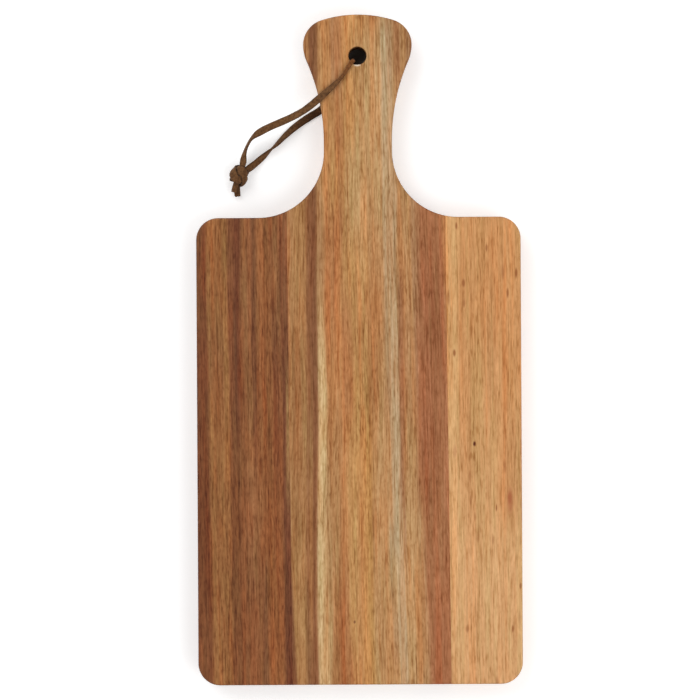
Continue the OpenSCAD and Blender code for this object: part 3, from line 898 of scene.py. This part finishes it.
def makeWood(name, s, g, board, drilled):
    material, start = newMaterial(name + "_wood")
    x, y, z = placeOf(start)
    sway = (speckle(x, y, z, g["sway"], 1.0, 0.4, s["seed"]) - 0.5) * (2 * s["sway"])
    grain = x + y * (x * s["fan"] + s["lean"]) + sway  # across the grain, the same all along one line of it

    def layer(kind, detail, roughness, shift):
        return speckle(grain, y, z, g[kind], detail, roughness, s["seed"] + shift)

    figure, ring = layer("figure", 4.0, 0.62, 0), layer("ring", 1.5, 0.55, 10)
    fibre, pore = layer("fibre", 2.0, 0.6, 20), layer("dash", 0.6, 0.5, 40)
    mottle, cloud = layer("mottle", 1.0, 0.5, 50), layer("cloud", 2.0, 0.5, 60)
    blush, tint = layer("blush", 2.0, 0.5, 80), layer("tint", 1.0, 0.5, 90)
    dash, glow = rise(pore, 0.56, 0.74), rise(pore, 0.44, 0.26)
    ragged = (figure - 0.5) * s["feather"] + (fibre - 0.5) * g["fibreRagged"]
    ragged = ragged + (z - board["faceZ"]) * s["through"]
    low, high = s["span"]
    stops = [((place - low) / (high - low), linear(woodTones[tone])) for place, tone in s["bands"]]
    colour = start.node("ValToRGB", {"stops": stops}, {0: (grain + ragged - low) / (high - low)})
    if s["paleFoot"]:
        colour = mixed(rise(y, *g["paleRun"]) * s["paleFoot"], colour, linear(woodTones["paleTan"]))
    colour = paintStreaks(colour, s["streaks"], x + sway + ragged, y, cloud)
    tints = [
        (rise(blush, 0.5, 0.7), g["red"]),
        (rise(blush, 0.5, 0.3), g["olive"]),
        (rise(tint, 0.5, 0.7) * s["tints"], g["red"]),
        (rise(tint, 0.5, 0.3) * s["tints"], g["olive"]),
        (rise(figure, 0.5, 0.75) * g["figureShare"], s["dark"]),
        (rise(figure, 0.5, 0.25) * g["figureShare"], s["pale"]),
        (rise(abs(ring - 0.5), g["ringWide"], 0.0) * rise(cloud, 0.35, 0.65) * g["ringShare"], s["dark"]),
        (rise(abs(ring - 0.6), g["ringWide"], 0.0) * rise(cloud, 0.65, 0.35) * g["ringShare"], s["pale"]),
        (rise(fibre, 0.48, 0.75), s["dark"]),
        (rise(fibre, 0.52, 0.25), s["pale"]),
        (dash * rise(cloud, 0.32, 0.62) * (g["dashShare"] * s["dashes"]), s["dark"]),
        (glow * (g["glowShare"] * s["dashes"]), s["pale"]),
        (rise(mottle, 0.5, 0.75) * (g["mottleShare"] * s["mottles"]), s["dark"]),
        (rise(mottle, 0.5, 0.25) * (g["mottleShare"] * s["mottles"]), s["pale"]),
        (rise(cloud, 0.4, 0.75) * g["cloudShare"], s["dark"]),
    ]
    for share, factor in tints:
        colour = tinted(share, colour, factor)
    if s["flecks"]:
        colour = paintFlecks(colour, s, g["fleck"], grain, y, z)
    for markX, markY, wide, tall, tone, most in s["marks"]:
        colour = mixed(oval(x, y, (markX, markY), (wide, tall)) * most, colour, linear(woodTones[tone]))
    facing = start.node("SeparateXYZ", None, {0: start.node("NewGeometry", out="Normal")})
    # painted shade: the sides and eased edges of each stave are darkened
    side = rise(abs(facing.other("Z")), 0.98, 0.3)
    colour = tinted(side * g["sideShadeShare"], colour, g["side"])
    colour = tinted(rise(abs(facing.other("Y")), 0.55, 0.95) * g["endShare"], colour, g["end"])
    if drilled:
        hole = board["hole"]
        # painted shade on the walls of the hole
        boreShade = oval(x, y, hole, (1.0, 1.0), *g["boreShadeRun"]) * side
        colour = tinted(boreShade * g["boreShadeShare"], colour, g["boreShade"])
        # painted highlight on the rim of the hole, beside the lace
        glintAt = (hole[0] + g["glintAt"][0], hole[1] + g["glintAt"][1])
        worn = oval(x, y, glintAt, g["glintHalf"]) * rise(z, board["faceZ"] - 1.2, board["faceZ"] - 0.5)
        colour = mixed(worn * g["glintShare"], colour, linear(woodTones["rimGlint"]))
    sockets = {"Strength": g["bump"], "Distance": g["bumpDepth"], "Height": fibre * 0.5 - dash * 0.6}
    bump = start.node("Bump", None, sockets)
    rough = g["roughness"] + fibre * 0.1 + dash * 0.1
    finishMaterial(start, colour, rough, bump, {"Specular IOR Level": g["shine"]})
    return material


blank = makeBlank(boardSetup)
leftJoint, rightJoint = boardSetup["joints"]
staveCuts = (
    ("left", "dark_wood", None, leftJoint),
    ("middle", "tan_wood", leftJoint, rightJoint),
    ("right", "light_wood", rightJoint, None),
)
for side, slot, fromJoint, toJoint in staveCuts:
    name, drilled = "stave_" + side, side == "middle"
    cut = cutStave(blank, boardSetup, fromJoint, toJoint)
    mesh = drillHole(cut, boardSetup) if drilled else staveMesh(cut, name)
    wood = makeWood(side, staveFigures[side], woodGrain, boardSetup, drilled)
    stave = addPiece(name, smoothStave(mesh, name, boardSetup), "board", slot, wood, side + "_stave")
    print("stave made:", name, len(stave.data.polygons), "faces")


# plain pale floor, soft light
roomSetup = {
    "floor": 8.0, "pale": (0.9, 0.9, 0.9, 1.0), "lift": 0.36,
    "shade": (0.3, 0.28, 0.26, 1.0), "shadeRun": (0.007, 0.012),  # painted shade on the ground under the hole
    "sky": 0.75, "zenith": 0.12, "zenithEdge": (0.97, 0.75),  # softer light from straight above
}


def seenRay(start):  # 1 on what the camera sees, directly or in gloss
    path = start.node("LightPath", out="Is Camera Ray")
    seen = path.math("MAXIMUM", path, path.other("Is Glossy Ray"))
    return path.math("MAXIMUM", seen, path.other("Is Transmission Ray"))


def makeRoom(s, hole):
    half = s["floor"] / 2
    mesh = bpy.data.meshes.new("floor")
    corners = [(-half, -half, 0), (half, -half, 0), (half, half, 0), (-half, half, 0)]
    mesh.from_pydata(corners, [], [(0, 1, 2, 3)])
    floor = bpy.data.objects.new("floor", mesh)
    scene.collection.objects.link(floor)
    material, start = newMaterial("pale_floor")
    ends = {0: start.node("TexCoord", out="Object"), 1: (hole[0] * mm, hole[1] * mm, 0)}
    away = start.node("VectorMath", {"operation": "DISTANCE"}, ends, out="Value")
    # painted shade on the ground under the hole, where the glow is held back too
    clear = rise(away, *s["shadeRun"])
    matt = start.node("BsdfDiffuse", None, {"Color": mixed(clear, s["shade"], s["pale"])})
    lift = seenRay(start) * s["lift"] * clear
    glow = start.node("Emission", None, {"Color": (1, 1, 1, 1), "Strength": lift})
    both = start.node("AddShader", None, {0: matt, 1: glow})
    start.node("OutputMaterial", None, {"Surface": both})
    mesh.materials.append(material)
    world = bpy.data.worlds.new("studio")
    scene.world = world
    world.use_nodes = True
    world.node_tree.nodes.clear()
    start = Wire(world.node_tree)
    up = start.node("SeparateXYZ", None, {0: start.node("TexCoord", out="Generated")}).other("Z")
    ring = rise(up, *s["zenithEdge"]) * (1 - s["zenith"]) + s["zenith"]
    strength = ring * (seenRay(start) * (1 - s["sky"]) + s["sky"])
    sky = start.node("Background", None, {"Color": (1, 1, 1, 1), "Strength": strength})
    start.node("OutputWorld", None, {"Surface": sky})


studioLights = {
    "key": {"at": (-0.8, 0.9, 1.2), "size": 1.3, "watts": 9.5},
    "fill": {"at": (1.0, -0.6, 1.2), "size": 1.3, "watts": 8.0},
}


def addLight(name, s):
    data = bpy.data.lights.new(name, "AREA")
    data.size, data.energy = s["size"], s["watts"]
    light = bpy.data.objects.new(name, data)
    light.location = s["at"]
    light.rotation_mode = "QUATERNION"
    light.rotation_quaternion = (-Vector(s["at"])).to_track_quat("-Z", "Y")
    scene.collection.objects.link(light)


makeRoom(roomSetup, boardSetup["hole"])
for lightName, lightSetup in studioLights.items():
    addLight(lightName, lightSetup)
print("room and lights made")
